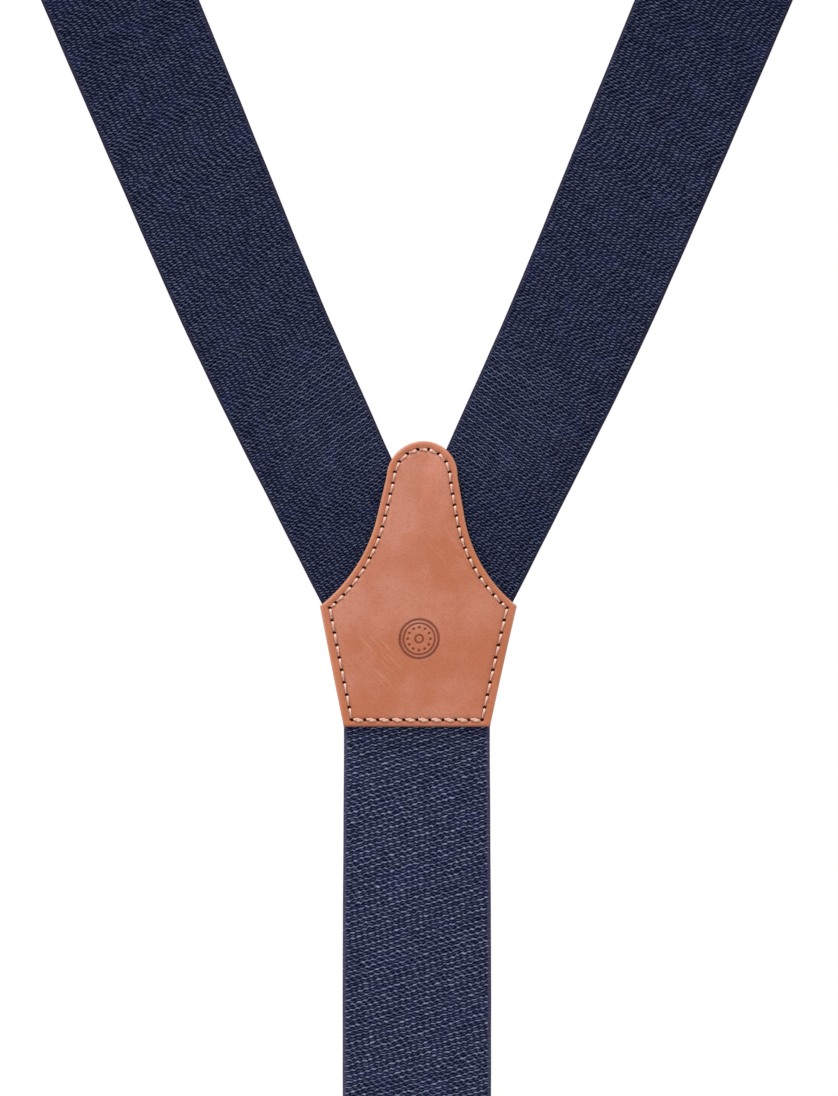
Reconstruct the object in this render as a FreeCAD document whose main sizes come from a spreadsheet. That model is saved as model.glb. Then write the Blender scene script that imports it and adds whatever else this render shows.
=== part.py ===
import FreeCAD, Part
import math
import os
import re

import Sketcher

# Y-back clip suspenders, as worn: a leather crosspatch joins two front straps and one rear strap,
# and each strap ends in a cam-lever trouser clip.
# Millimetres. The origin is midway between the wearer's shoulders, at the height of the straps'
# inner crest. +Z is up, +Y is the wearer's front and +X the wearer's right.

Vector = FreeCAD.Vector

SIZES = (
    # Webbing and its course round the wearer
    ("webbing_width", 35.0, "full width of the elastic webbing"),
    ("webbing_thickness", 1.8, "thickness of the webbing"),
    ("shoulder_radius", 96.0, "inside radius of the straps over the shoulders"),
    ("patch_drop", 260.0, "crest of the straps down to the middle of the crosspatch"),
    ("apex_drop", 18.1, "patch middle down to where the front straps' centre lines meet"),
    ("low_angle", 25.5, "front straps from the vertical, beside the patch, in degrees"),
    ("high_angle", 22.8, "front straps from the vertical, above the slight bend, in degrees"),
    ("bend_height", 62.0, "patch middle up to the middle of the slight bend"),
    ("straight_height", 140.0, "patch middle up to where the straps turn towards the vertical"),
    ("edge_bend_radius", 800.0, "radius of each edgewise bend of the straps"),
    ("gather_depth", 7.2, "width that the tension takes off a front strap at the apex"),
    ("gather_length", 227.0, "length over which a front strap regains its full width"),
    ("fixed_run_drop", 425.0, "crest down to where a front strap's movable loop begins"),
    ("clip_bar_drop", 500.0, "crest down to the clips' bars"),
    ("adjuster_drop", 330.0, "crest down to the middle of the adjusters"),
    ("fold_gap", 5.0, "space between the two runs of a loop"),
    ("butt_drop", 20.0, "patch middle down to the joint of the front straps and the rear strap"),
    ("butt_gap", 0.1, "space between the strap ends inside the patch"),
    ("front_hem", 20.0, "length sewn back at the adjuster"),
    ("rear_hem", 30.0, "length sewn back at the rear clip"),
    ("first_row", 0.45, "part of a hem's length from its fold to the first row of stitches"),
    ("second_row", 0.85, "part of a hem's length from its fold to the second row"),
    # Leather crosspatch
    ("patch_half_height", 33.8, "half the height of the crosspatch"),
    ("patch_bottom_half", 17.3, "half the width of its bottom edge"),
    ("patch_corner_half", 23.3, "half the width between its side corners"),
    ("patch_corner_drop", 5.2, "patch middle down to the side corners"),
    ("patch_flare_radius", 36.0, "radius of the hollow sides above the corners"),
    ("patch_neck_half", 10.2, "half the width where the hollow sides end"),
    ("patch_neck_height", 16.6, "height of that place above the patch middle"),
    ("patch_knob_radius", 8.4, "radius of the round top"),
    ("leather_thickness", 1.8, "outer leather"),
    ("backing_thickness", 1.4, "backing leather"),
    ("stitch_inset", 2.0, "patch edge to the line of stitching"),
    ("stitch_pitch", 2.8, "distance from stitch to stitch"),
    ("stitch_length", 2.0, "length of one visible stitch"),
    ("stitch_width", 0.7, "width of the thread"),
    ("stitch_rise", 0.35, "height of the thread above what it is sewn to"),
    # Adjusters
    ("adjuster_half_width", 20.9, "half the width of the frame"),
    ("adjuster_half_height", 13.0, "half the height of the frame"),
    ("frame_thickness", 1.4, "thickness of the pressed frames"),
    ("window_half_width", 18.0, "half the width of a strap window"),
    ("bar_height", 3.4, "height of the frame's cross bars"),
    ("anvil_depth", 4.6, "depth of the raised top bar that the teeth press against"),
    ("adjuster_pin_out", 9.1, "frame's inner face out to the lever's pin"),
    ("adjuster_pin_up", 9.0, "frame middle up to the lever's pin"),
    ("adjuster_pin_radius", 0.9, "radius of the lever's pin"),
    ("adjuster_hub_radius", 1.7, "radius of the lever's rolled hub"),
    ("adjuster_tooth_reach", 2.4, "pin axis to the tips of the teeth"),
    ("adjuster_lever_half", 17.4, "half the width of the lever"),
    ("adjuster_lever_drop", 22.0, "pin axis down to the lever's free edge"),
    ("adjuster_ear_gap", 0.3, "space between the lever and the ears"),
    ("hem_clearance", 0.2, "space between webbing and the bar it is sewn round"),
    # Clips
    ("clip_bar_radius", 1.8, "radius of the bar that carries a clip"),
    ("clip_half_width", 20.9, "half the width of a clip's back plate"),
    ("clip_window_drop", 6.3, "bar axis down to the lower edge of the strap window"),
    ("clip_taper_drop", 24.0, "bar axis down to where the back plate narrows"),
    ("clip_foot_half", 16.8, "half the width of the back plate's foot"),
    ("clip_drop", 41.0, "bar axis down to the back plate's foot"),
    ("clip_pin_out", 5.2, "bar axis out to the lever's pin"),
    ("clip_pin_drop", 33.0, "bar axis down to the lever's pin"),
    ("clip_pin_radius", 1.0, "radius of the lever's pin"),
    ("clip_hub_radius", 2.0, "radius of the lever's rolled hub"),
    ("clip_lever_half", 14.6, "half the width of the lever"),
    ("clip_lever_top", 9.0, "bar axis down to the lever's finger edge"),
    ("clip_lip_length", 5.0, "length of the finger edge that is turned outwards"),
    ("clip_lip_out", 2.0, "how far the finger edge is turned outwards"),
    ("lever_thickness", 1.2, "thickness of the levers' plates"),
    ("clip_ear_inner", 15.0, "middle of the clip out to the ears' inner faces"),
    ("clip_ear_thickness", 1.2, "thickness of the ears"),
    ("clip_ear_reach", 7.8, "bar axis out to the ears' front edges"),
    ("clip_ear_half", 3.6, "half the height of the ears"),
    ("clip_nose_reach", 3.4, "pin axis to the tip of the lever's cam nose"),
    ("clip_nose_height", 1.5, "height of the cam nose above the pin axis"),
    ("clip_nose_depth", 0.3, "depth of the cam nose below the pin axis"),
    ("grip_half_width", 14.0, "half the width of the plastic grip"),
    ("grip_half_height", 5.0, "half the height of the plastic grip"),
    ("grip_thickness", 1.0, "thickness of the plastic grip"),
    ("pin_clearance", 0.05, "radial clearance of the levers on their pins"),
    ("pin_overhang", 0.5, "length of pin that stands out past each ear"),
)

doc = FreeCAD.newDocument("suspenders")
sheet = doc.addObject("Spreadsheet::Sheet", "sizes")
for row, (alias, number, meaning) in enumerate(SIZES, start=1):
    sheet.set("A%d" % row, meaning)
    sheet.set("B%d" % row, str(number))
    sheet.setAlias("B%d" % row, alias)
doc.recompute()


def measure(expression):
    """The number that an expression of the sheet's aliases has now."""
    return float(sheet.evalExpression(expression))


def bound(expression):
    """The same expression as the document's objects read it."""
    return re.sub(r"[a-z][a-z_]+", r"sizes.\g<0>", expression)


webbing_width = measure("webbing_width")
webbing_thickness = measure("webbing_thickness")
shoulder_radius = measure("shoulder_radius")
patch_middle = -measure("patch_drop")
left_to_right = Vector(1, 0, 0)
half_turn = FreeCAD.Rotation(Vector(0, 0, 1), 180)
no_turn = FreeCAD.Rotation()
nodes = []


# Sketches and pads

def arc_between(start, end, radius, side):
    """The short arc from start to end; side is 1 with its centre on the left, -1 on the right."""
    chord = end - start
    middle = (start + end) * 0.5
    to_left = Vector(-chord.y, chord.x, 0).normalize()
    height = math.sqrt(max(radius ** 2 - (chord.Length / 2) ** 2, 0))
    centre = middle + to_left * height * side
    first, last = (start, end) if side > 0 else (end, start)
    angles = [math.atan2(point.y - centre.y, point.x - centre.x) for point in (first, last)]
    return Part.ArcOfCircle(Part.Circle(centre, Vector(0, 0, 1), radius), *angles)


def hold_point(sketch, geometry, position, expressions):
    """Bind one sketch point's two coordinates to the sheet."""
    for kind, axis, expression in zip(("DistanceX", "DistanceY"), (-2, -1), expressions):
        if expression == "0":
            sketch.addConstraint(Sketcher.Constraint("PointOnObject", geometry, position, axis))
            continue
        held = Sketcher.Constraint(kind, -1, 1, geometry, position, measure(expression))
        index = sketch.addConstraint(held)
        sketch.setExpression("Constraints[%d]" % index, bound(expression))


def add_outline(sketch, corners):
    """A closed outline. A corner is (x, y), or (x, y, radius, side) where an arc leaves it."""
    points = [Vector(measure(corner[0]), measure(corner[1]), 0) for corner in corners]
    ends = []
    for number, corner in enumerate(corners):
        start = points[number]
        end = points[(number + 1) % len(points)]
        if len(corner) == 2:
            geometry = sketch.addGeometry(Part.LineSegment(start, end))
            ends.append((geometry, 1, 2))
            continue
        radius, side = corner[2:]
        geometry = sketch.addGeometry(arc_between(start, end, measure(radius), side))
        ends.append((geometry, 1, 2) if side > 0 else (geometry, 2, 1))
        index = sketch.addConstraint(Sketcher.Constraint("Radius", geometry, measure(radius)))
        sketch.setExpression("Constraints[%d]" % index, bound(radius))
    for number, (geometry, first, last) in enumerate(ends):
        following, next_first, _ = ends[(number + 1) % len(ends)]
        sketch.addConstraint(Sketcher.Constraint("Coincident", geometry, last, following, next_first))
        hold_point(sketch, geometry, first, corners[number][:2])


def rectangle(left, low, right, high):
    return [(left, low), (right, low), (right, high), (left, high)]


def both_sides(inner, low, outer, high):
    """Two rectangles, one each side of the middle."""
    return [rectangle(inner, low, outer, high),
            rectangle("-(%s)" % outer, low, "-(%s)" % inner, high)]


def add_sketch(body, plane_role, outlines):
    sketch = body.newObject("Sketcher::SketchObject", body.Name + "_sketch")
    plane = next(item for item in body.Origin.OriginFeatures if item.Role == plane_role)
    sketch.AttachmentSupport = [(plane, "")]
    sketch.MapMode = "FlatFace"
    for outline in outlines:
        add_outline(sketch, outline)
    return sketch


def add_pad(body, sketch, length, symmetric):
    """Pad a sketch both ways, or against its normal, which is +Y for the XZ plane."""
    pad = body.newObject("PartDesign::Pad", body.Name + "_pad")
    pad.Profile = sketch
    pad.setExpression("Length", bound(length))
    pad.SideType = "Symmetric" if symmetric else "One side"
    pad.Reversed = not symmetric


def add_front_pad(body, outlines, length, symmetric=False):
    """A plate in the XZ plane, thickened towards +Y or both ways."""
    add_pad(body, add_sketch(body, "XZ_Plane", outlines), length, symmetric)


def add_side_pad(body, outlines, half_width):
    """A profile in the YZ plane, thickened both ways along X."""
    add_pad(body, add_sketch(body, "YZ_Plane", outlines), "2 * (%s)" % half_width, True)


def add_circle(sketch, radius):
    """A circle about the sketch's origin."""
    circle = sketch.addGeometry(Part.Circle(Vector(), Vector(0, 0, 1), measure(radius)))
    sketch.addConstraint(Sketcher.Constraint("Coincident", circle, 3, -1, 1))
    index = sketch.addConstraint(Sketcher.Constraint("Radius", circle, measure(radius)))
    sketch.setExpression("Constraints[%d]" % index, bound(radius))


def bore_for_pin(body, pin_radius, half_width):
    """A running bore along the body's own X axis, through its whole width."""
    sketch = add_sketch(body, "YZ_Plane", [])
    add_circle(sketch, pin_radius + " + pin_clearance")
    pocket = body.newObject("PartDesign::Pocket", body.Name + "_bore")
    pocket.Profile = sketch
    pocket.SideType = "Symmetric"
    pocket.setExpression("Length", bound("3 * " + half_width))
    doc.recompute()
    if pocket.Shape.Volume > 0.999 * pocket.BaseFeature.Shape.Volume:
        raise RuntimeError("the bore of %s cuts nothing" % body.Label)


def new_body(name, place):
    body = doc.addObject("PartDesign::Body", name)
    body.Label = name
    body.Placement = place
    nodes.append(body)
    return body


def new_shape(name, shape, place=None):
    """A sub-part whose shape is worked out in this file."""
    piece = doc.addObject("Part::Feature", name)
    piece.Label = name
    piece.Shape = shape
    piece.Placement = place or FreeCAD.Placement()
    nodes.append(piece)


def new_pin(name, place, radius, half_length, out, drop):
    """A pin along X, its axis out from and below the place."""
    pin = doc.addObject("Part::Cylinder", name)
    pin.Label = name
    pin.setExpression("Radius", bound(radius))
    pin.setExpression("Height", bound("2 * (%s)" % half_length))
    offset = Vector(-measure(half_length), measure(out), -measure(drop))
    along_x = FreeCAD.Rotation(Vector(0, 1, 0), 90)
    pin.Placement = place.multiply(FreeCAD.Placement(offset, along_x))
    nodes.append(pin)


# The straps' course

def front_strap_course(spacing=10.0):
    """Stations along a front strap's centre line on the unrolled body surface.

    Each is (across, along, heading in radians, distance), measured from the apex below the patch
    middle. The course has a straight start, a slight bend, a second straight and a long bend to
    the vertical."""
    low = math.radians(measure("low_angle"))
    high = math.radians(measure("high_angle"))
    radius = measure("edge_bend_radius")
    apex = -measure("apex_drop")
    half_slight = radius * (low - high) / 2
    first_straight = (measure("bend_height") - apex) / math.cos(low) - half_slight
    second_straight = measure("straight_height - bend_height") / math.cos(high) - half_slight
    arch_end = measure("patch_drop - shoulder_radius") + math.pi * middle_radius()
    long_bend_top = measure("straight_height") + radius * math.sin(high)
    stretches = (
        (first_straight, 0.0),
        (2 * half_slight, high - low),
        (second_straight, 0.0),
        (radius * high, -high),
        (arch_end - long_bend_top, 0.0),
    )
    across, along, heading = 0.0, apex, low
    distance = 0.0
    stations = [(across, along, heading, distance)]
    for length, turn in stretches:
        steps = max(1, round(length / spacing))
        step = length / steps
        for _ in range(steps):
            middle_heading = heading + turn / steps / 2
            across += step * math.sin(middle_heading)
            along += step * math.cos(middle_heading)
            heading += turn / steps
            distance += step
            stations.append((across, along, heading, distance))
    return stations


def middle_radius():
    return shoulder_radius + webbing_thickness / 2


def on_body(across, along, out):
    """A point of the unrolled surface, out from the straps' inner face, where it is worn."""
    arch_start = measure("patch_drop - shoulder_radius")
    arch_length = math.pi * middle_radius()
    radius = shoulder_radius + out
    if along <= arch_start:
        return Vector(across, -radius, patch_middle + along)
    if along >= arch_start + arch_length:
        return Vector(across, radius, -shoulder_radius - (along - arch_start - arch_length))
    turned = (along - arch_start) / middle_radius()
    return Vector(across, -radius * math.cos(turned), -shoulder_radius + radius * math.sin(turned))


def strap_width(distance):
    """The strap is drawn narrower beside the patch."""
    length = measure("gather_length")
    left = max(0.0, 1 - distance / length)
    return webbing_width - measure("gather_depth") * left ** 2


def strap_section(station):
    """The strap's rectangular section at a station."""
    across, along, heading, distance = station
    half = strap_width(distance) / 2
    corners = []
    for side, out in ((-1, 0), (1, 0), (1, webbing_thickness), (-1, webbing_thickness)):
        corner_across = across + side * half * math.cos(heading)
        corner_along = along - side * half * math.sin(heading)
        corners.append(on_body(corner_across, corner_along, out))
    return Part.makePolygon(corners + corners[:1])


# Straps

def right_front_strap_shape():
    """The worn course, mitred on the centre line and cut level below, with the run down the front."""
    apex = front_strap_course()[0]
    heading = apex[2]
    run_in = webbing_width
    below = (-run_in * math.sin(heading), apex[1] - run_in * math.cos(heading), heading, 0.0)
    sections = [strap_section(station) for station in [below] + front_strap_course()]
    worn = Part.makeLoft(sections, True, True)
    reach = measure("patch_half_height + webbing_width")
    depth = 2 * webbing_thickness
    back_face = -middle_radius() - depth / 2
    beyond_middle = Vector(measure("butt_gap / 2") - reach, back_face, patch_middle - reach)
    beyond_butt = Vector(-reach, back_face, patch_middle - measure("butt_drop") - reach)
    worn = worn.cut(Part.makeBox(reach, depth, 2 * reach, beyond_middle))
    worn = worn.cut(Part.makeBox(2 * reach, depth, reach, beyond_butt))
    front_corner = Vector(front_across() - webbing_width / 2, shoulder_radius, -measure("fixed_run_drop"))
    front_height = measure("fixed_run_drop - shoulder_radius")
    front = Part.makeBox(webbing_width, webbing_thickness, front_height, front_corner)
    return worn.fuse(front).removeSplitter()


def front_across():
    """How far out the straps hang on the wearer's front."""
    return front_strap_course()[-1][0]


def make_front_straps():
    shape = right_front_strap_shape()
    new_shape("right_front_strap", shape)
    new_shape("left_front_strap", shape.mirror(Vector(), left_to_right))


def make_strap_loop(side, across):
    """Down from the fixed run, round the clip's bar, up behind it and round the adjuster's bar."""
    inner_fold = "fold_gap / 2"
    outer_fold = inner_fold + " + webbing_thickness"
    back_in = "-fold_gap / 2"
    back_out = back_in + " - webbing_thickness"
    hem_fold = "frame_thickness / 2 + hem_clearance"
    outer_hem = hem_fold + " + webbing_thickness"
    hem_middle = "%s + %s" % (back_in, hem_fold)
    hem_in = "%s + %s" % (hem_middle, hem_fold)
    hem_out = hem_in + " + webbing_thickness"
    start = "clip_bar_drop - fixed_run_drop"
    hem_height = "clip_bar_drop - adjuster_drop - adjuster_half_height + bar_height"
    hem_top = hem_height + " + frame_thickness / 2 + hem_clearance"
    hem_foot = hem_height + " - front_hem"
    outline = [
        (outer_fold, start),
        (outer_fold, "0", outer_fold, -1),
        ("0", back_out, outer_fold, -1),
        (back_out, "0"),
        (back_out, hem_height, outer_hem, -1),
        (hem_middle, hem_top + " + webbing_thickness", outer_hem, -1),
        (hem_out, hem_height),
        (hem_out, hem_foot),
        (hem_in, hem_foot),
        (hem_in, hem_height, hem_fold, 1),
        (hem_middle, hem_top, hem_fold, 1),
        (back_in, hem_height),
        (back_in, "0", inner_fold, 1),
        ("0", back_in, inner_fold, 1),
        (inner_fold, "0"),
        (inner_fold, start),
    ]
    body = new_body(side + "_strap_loop", bar_place(across))
    add_side_pad(body, [outline], "webbing_width / 2")


def make_rear_strap():
    """From the butt joint inside the patch down and round the rear clip's bar to a sewn hem."""
    start = "clip_bar_drop - patch_drop - butt_drop - butt_gap"
    inner_fold = "fold_gap / 2"
    outer_fold = inner_fold + " + webbing_thickness"
    back_in = "-fold_gap / 2"
    back_out = back_in + " - webbing_thickness"
    outline = [
        (outer_fold, start),
        (outer_fold, "0", outer_fold, -1),
        ("0", back_out, outer_fold, -1),
        (back_out, "0"),
        (back_out, "rear_hem"),
        (back_in, "rear_hem"),
        (back_in, "0", inner_fold, 1),
        ("0", back_in, inner_fold, 1),
        (inner_fold, "0"),
        (inner_fold, start),
    ]
    body = new_body("rear_strap", rear_place())
    add_side_pad(body, [outline], "webbing_width / 2")


def bar_place(across):
    """The middle of a front clip's bar, in the fold of its strap."""
    return FreeCAD.Placement(Vector(across, shoulder_radius - measure("fold_gap") / 2,
                                    -measure("clip_bar_drop")), no_turn)


def rear_place():
    """The middle of the rear clip's bar, turned so that the clip faces backwards."""
    return FreeCAD.Placement(Vector(0, -shoulder_radius + measure("fold_gap") / 2,
                                    -measure("clip_bar_drop")), half_turn)


# Crosspatch

def patch_outline():
    knob_height = "patch_half_height - patch_knob_radius"
    return [
        ("patch_bottom_half", "-patch_half_height"),
        ("patch_corner_half", "-patch_corner_drop", "patch_flare_radius", -1),
        ("patch_neck_half", "patch_neck_height"),
        ("patch_knob_radius", knob_height, "patch_knob_radius", 1),
        ("0", "patch_half_height", "patch_knob_radius", 1),
        ("-patch_knob_radius", knob_height),
        ("-patch_neck_half", "patch_neck_height", "patch_flare_radius", -1),
        ("-patch_corner_half", "-patch_corner_drop"),
        ("-patch_bottom_half", "-patch_half_height"),
    ]


def make_patch_leather(name, inner_face, thickness):
    body = new_body(name, FreeCAD.Placement(Vector(0, inner_face, patch_middle), no_turn))
    add_front_pad(body, [patch_outline()], thickness)


def make_crosspatch():
    outer_face = -measure("shoulder_radius + webbing_thickness + leather_thickness")
    make_patch_leather("crosspatch_front_leather", outer_face, "leather_thickness")
    make_patch_leather("crosspatch_backing_leather", -shoulder_radius, "backing_thickness")


def thread(middle, along):
    """One stitch: a short bar in the XZ plane, standing out towards -Y from its middle."""
    length = measure("stitch_length")
    width = measure("stitch_width")
    rise = measure("stitch_rise")
    bar = Part.makeBox(length, rise, width, Vector(-length / 2, -rise, -width / 2))
    bar.Placement = FreeCAD.Placement(middle, FreeCAD.Rotation(Vector(1, 0, 0), along))
    return bar


def make_crosspatch_stitching():
    """A group of stitches along a line inside the outer leather's edge."""
    outer_face = -measure("shoulder_radius + webbing_thickness + leather_thickness")
    leather = doc.getObject("crosspatch_front_leather").Shape
    face = next(item for item in leather.Faces if abs(item.CenterOfMass.y - outer_face) < 1e-6)
    line = face.OuterWire.makeOffset2D(-measure("stitch_inset"))
    if line.BoundBox.XLength > face.BoundBox.XLength:
        line = face.OuterWire.makeOffset2D(measure("stitch_inset"))
    stitches = []
    for edge in line.Edges:
        count = max(1, round(edge.Length / measure("stitch_pitch")))
        for number in range(count):
            parameter = edge.getParameterByLength(edge.Length * (number + 0.5) / count)
            stitches.append(thread(edge.valueAt(parameter), edge.tangentAt(parameter)))
    new_shape("crosspatch_stitching", Part.makeCompound(stitches))


def stitch_rows(heights):
    """Straight rows of stitches across a strap, at heights above the place they are put in."""
    count = round((webbing_width - 2 * measure("stitch_inset")) / measure("stitch_pitch"))
    first = -(count - 1) / 2 * measure("stitch_pitch")
    middles = [Vector(first + number * measure("stitch_pitch"), 0, height)
               for height in heights for number in range(count)]
    return Part.makeCompound([thread(middle, left_to_right) for middle in middles])


def make_hem_stitching(side, across):
    """Two rows on the inner face of the hem below the adjuster."""
    face = shoulder_radius - measure("fold_gap + webbing_thickness")
    hem_top = -measure("adjuster_drop + adjuster_half_height - bar_height")
    place = FreeCAD.Placement(Vector(across, face, hem_top), no_turn)
    rows = stitch_rows(-measure(row + " * front_hem") for row in ("first_row", "second_row"))
    new_shape(side + "_end_stitching", rows, place)


def make_rear_hem_stitching():
    """Two rows on the outer face of the rear strap, above the clip's bar."""
    outer_face = -shoulder_radius - webbing_thickness
    place = FreeCAD.Placement(Vector(0, outer_face, -measure("clip_bar_drop")), no_turn)
    rows = stitch_rows(measure(row + " * rear_hem") for row in ("first_row", "second_row"))
    new_shape("rear_end_stitching", rows, place)


# Adjusters: the place is the middle of the frame, on its inner face

def adjuster_place(across):
    inner_face = shoulder_radius - measure("fold_gap") + measure("hem_clearance")
    return FreeCAD.Placement(Vector(across, inner_face, -measure("adjuster_drop")), no_turn)


def make_adjuster_frame(side, place):
    """A pressed ring with a raised top bar and two ears for the lever's pin."""
    body = new_body(side + "_adjuster_frame", place)
    outer = rectangle("-adjuster_half_width", "-adjuster_half_height",
                      "adjuster_half_width", "adjuster_half_height")
    window = rectangle("-window_half_width", "-adjuster_half_height + bar_height",
                       "window_half_width", "adjuster_half_height - bar_height")
    add_front_pad(body, [outer, window], "frame_thickness")
    anvil = rectangle("-window_half_width", "adjuster_half_height - bar_height",
                      "window_half_width", "adjuster_half_height")
    add_front_pad(body, [anvil], "anvil_depth")
    ear_outer = "adjuster_half_width"
    ear_inner = "adjuster_half_width - frame_thickness"
    ears = both_sides(ear_inner, "adjuster_pin_up - adjuster_hub_radius - frame_thickness",
                      ear_outer, "adjuster_pin_up + adjuster_hub_radius + frame_thickness")
    add_front_pad(body, ears, "adjuster_pin_out + adjuster_hub_radius")


def make_adjuster_lever(side, place):
    """A cover plate with a rolled hub and a toothed edge, hinged on the pin."""
    offset = FreeCAD.Placement(Vector(0, measure("adjuster_pin_out"), measure("adjuster_pin_up")), no_turn)
    body = new_body(side + "_adjuster_lever", place.multiply(offset))
    plate_in = "adjuster_hub_radius - lever_thickness"
    outline = [
        (plate_in, "-adjuster_lever_drop"),
        ("adjuster_hub_radius", "-adjuster_lever_drop"),
        ("adjuster_hub_radius", "0", "adjuster_hub_radius", 1),
        ("0", "adjuster_hub_radius"),
        ("-adjuster_tooth_reach", "lever_thickness / 2"),
        ("-adjuster_tooth_reach", "0"),
        ("-adjuster_pin_radius", "-adjuster_hub_radius"),
        (plate_in, "-adjuster_hub_radius"),
    ]
    add_side_pad(body, [outline], "adjuster_lever_half")
    bore_for_pin(body, "adjuster_pin_radius", "adjuster_lever_half")


def make_adjuster(side, across):
    place = adjuster_place(across)
    make_adjuster_frame(side, place)
    make_adjuster_lever(side, place)
    new_pin(side + "_adjuster_pin", place, "adjuster_pin_radius",
            "adjuster_half_width", "adjuster_pin_out", "-adjuster_pin_up")


# Clips: the place is the middle of the bar, and the lever faces +Y

def make_clip_back_plate(side, place):
    """A pressed plate with a bar for the strap at its top and two ears for the lever's pin."""
    body = new_body(side + "_clip_back_plate", place)
    foot = "-clip_drop"
    plate = [
        ("clip_foot_half", foot),
        ("clip_half_width", "-clip_taper_drop"),
        ("clip_half_width", "0"),
        ("-clip_half_width", "0"),
        ("-clip_half_width", "-clip_taper_drop"),
        ("-clip_foot_half", foot),
    ]
    window = rectangle("-window_half_width", "-clip_window_drop",
                       "window_half_width", "-clip_bar_radius / 2")
    add_front_pad(body, [plate, window], "frame_thickness", symmetric=True)
    bar = add_sketch(body, "YZ_Plane", [])
    add_circle(bar, "clip_bar_radius")
    add_pad(body, bar, "2 * clip_half_width", True)
    ears = both_sides("clip_ear_inner", "-clip_pin_drop - clip_ear_half",
                      "clip_ear_inner + clip_ear_thickness", "-clip_pin_drop + clip_ear_half")
    add_front_pad(body, ears, "clip_ear_reach")


def make_clip_lever(side, place):
    """A plate with a finger edge, a rolled hub and a cam nose, hinged on the pin."""
    offset = FreeCAD.Placement(Vector(0, measure("clip_pin_out"), -measure("clip_pin_drop")), no_turn)
    body = new_body(side + "_clip_lever", place.multiply(offset))
    plate_out = "clip_hub_radius"
    plate_in = "clip_hub_radius - lever_thickness"
    lip_foot = "clip_pin_drop - clip_lever_top - clip_lip_length"
    top = "clip_pin_drop - clip_lever_top"
    outline = [
        ("-clip_nose_reach", "-clip_nose_depth"),
        ("0", "-clip_hub_radius", "clip_hub_radius", 1),
        (plate_out, "0"),
        (plate_out, lip_foot),
        (plate_out + " + clip_lip_out", top),
        (plate_in + " + clip_lip_out", top),
        (plate_in, lip_foot),
        (plate_in, "clip_hub_radius"),
        ("-clip_pin_radius", "clip_hub_radius"),
        ("-clip_nose_reach", "clip_nose_height"),
    ]
    add_side_pad(body, [outline], "clip_lever_half")
    bore_for_pin(body, "clip_pin_radius", "clip_lever_half")


def make_grip(side, place):
    """The plastic grip on the back plate, behind the cam nose."""
    grip = doc.addObject("Part::Box", side + "_clip_grip")
    grip.Label = side + "_clip_grip"
    grip.setExpression("Length", bound("2 * grip_half_width"))
    grip.setExpression("Width", bound("grip_thickness"))
    grip.setExpression("Height", bound("2 * grip_half_height"))
    corner = Vector(-measure("grip_half_width"), measure("frame_thickness / 2"),
                    -measure("clip_pin_drop + grip_half_height"))
    grip.Placement = place.multiply(FreeCAD.Placement(corner, no_turn))
    nodes.append(grip)


def make_clip(side, place):
    make_clip_back_plate(side, place)
    make_clip_lever(side, place)
    make_grip(side, place)
    new_pin(side + "_clip_pin", place, "clip_pin_radius",
            "clip_ear_inner + clip_ear_thickness + pin_overhang", "clip_pin_out", "clip_pin_drop")


make_front_straps()
make_rear_strap()
make_crosspatch()
doc.recompute()
make_crosspatch_stitching()
make_rear_hem_stitching()
make_clip("rear", rear_place())
hang = front_across()
for side, across in (("left", -hang), ("right", hang)):
    make_strap_loop(side, across)
    make_hem_stitching(side, across)
    make_adjuster(side, across)
    make_clip(side, bar_place(across))
doc.recompute()

for item in doc.Objects:
    if "Invalid" in item.State or "Error" in item.State:
        raise RuntimeError("%s failed: %s" % (item.Label, item.State))
for node in nodes:
    if node.Shape.isNull() or not node.Shape.isValid():
        raise RuntimeError("%s has no valid shape" % node.Label)

os.makedirs("parts", exist_ok=True)
for node in nodes:
    node.Shape.exportStep("parts/%s.step" % node.Label)
    print("%-30s %10.1f mm3  %d solids" % (node.Label, node.Shape.Volume, len(node.Shape.Solids)))
print("front straps hang at", round(hang, 2))
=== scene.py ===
import math

import bmesh
import bpy
import numpy as np
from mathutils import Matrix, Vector, geometry, noise


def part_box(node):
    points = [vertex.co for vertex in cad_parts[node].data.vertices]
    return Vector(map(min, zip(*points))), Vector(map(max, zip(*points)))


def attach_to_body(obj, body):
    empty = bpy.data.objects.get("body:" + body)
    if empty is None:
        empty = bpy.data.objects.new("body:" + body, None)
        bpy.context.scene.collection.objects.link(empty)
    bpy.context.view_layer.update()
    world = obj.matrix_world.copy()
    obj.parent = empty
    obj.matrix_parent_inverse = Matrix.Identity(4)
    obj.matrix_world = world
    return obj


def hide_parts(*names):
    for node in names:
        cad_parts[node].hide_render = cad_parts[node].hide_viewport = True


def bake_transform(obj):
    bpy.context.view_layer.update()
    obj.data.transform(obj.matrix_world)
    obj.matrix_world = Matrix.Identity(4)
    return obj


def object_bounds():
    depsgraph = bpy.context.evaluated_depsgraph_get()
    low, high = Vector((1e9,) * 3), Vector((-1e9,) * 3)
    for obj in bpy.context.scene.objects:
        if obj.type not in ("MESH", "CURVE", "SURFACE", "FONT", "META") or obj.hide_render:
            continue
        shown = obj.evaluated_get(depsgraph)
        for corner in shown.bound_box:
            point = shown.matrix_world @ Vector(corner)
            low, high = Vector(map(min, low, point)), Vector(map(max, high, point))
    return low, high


# The looks of a pair of Y-back suspenders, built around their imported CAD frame, in metres.
# The wearer faces +Y, and the camera sees the wearer's back.

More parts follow.
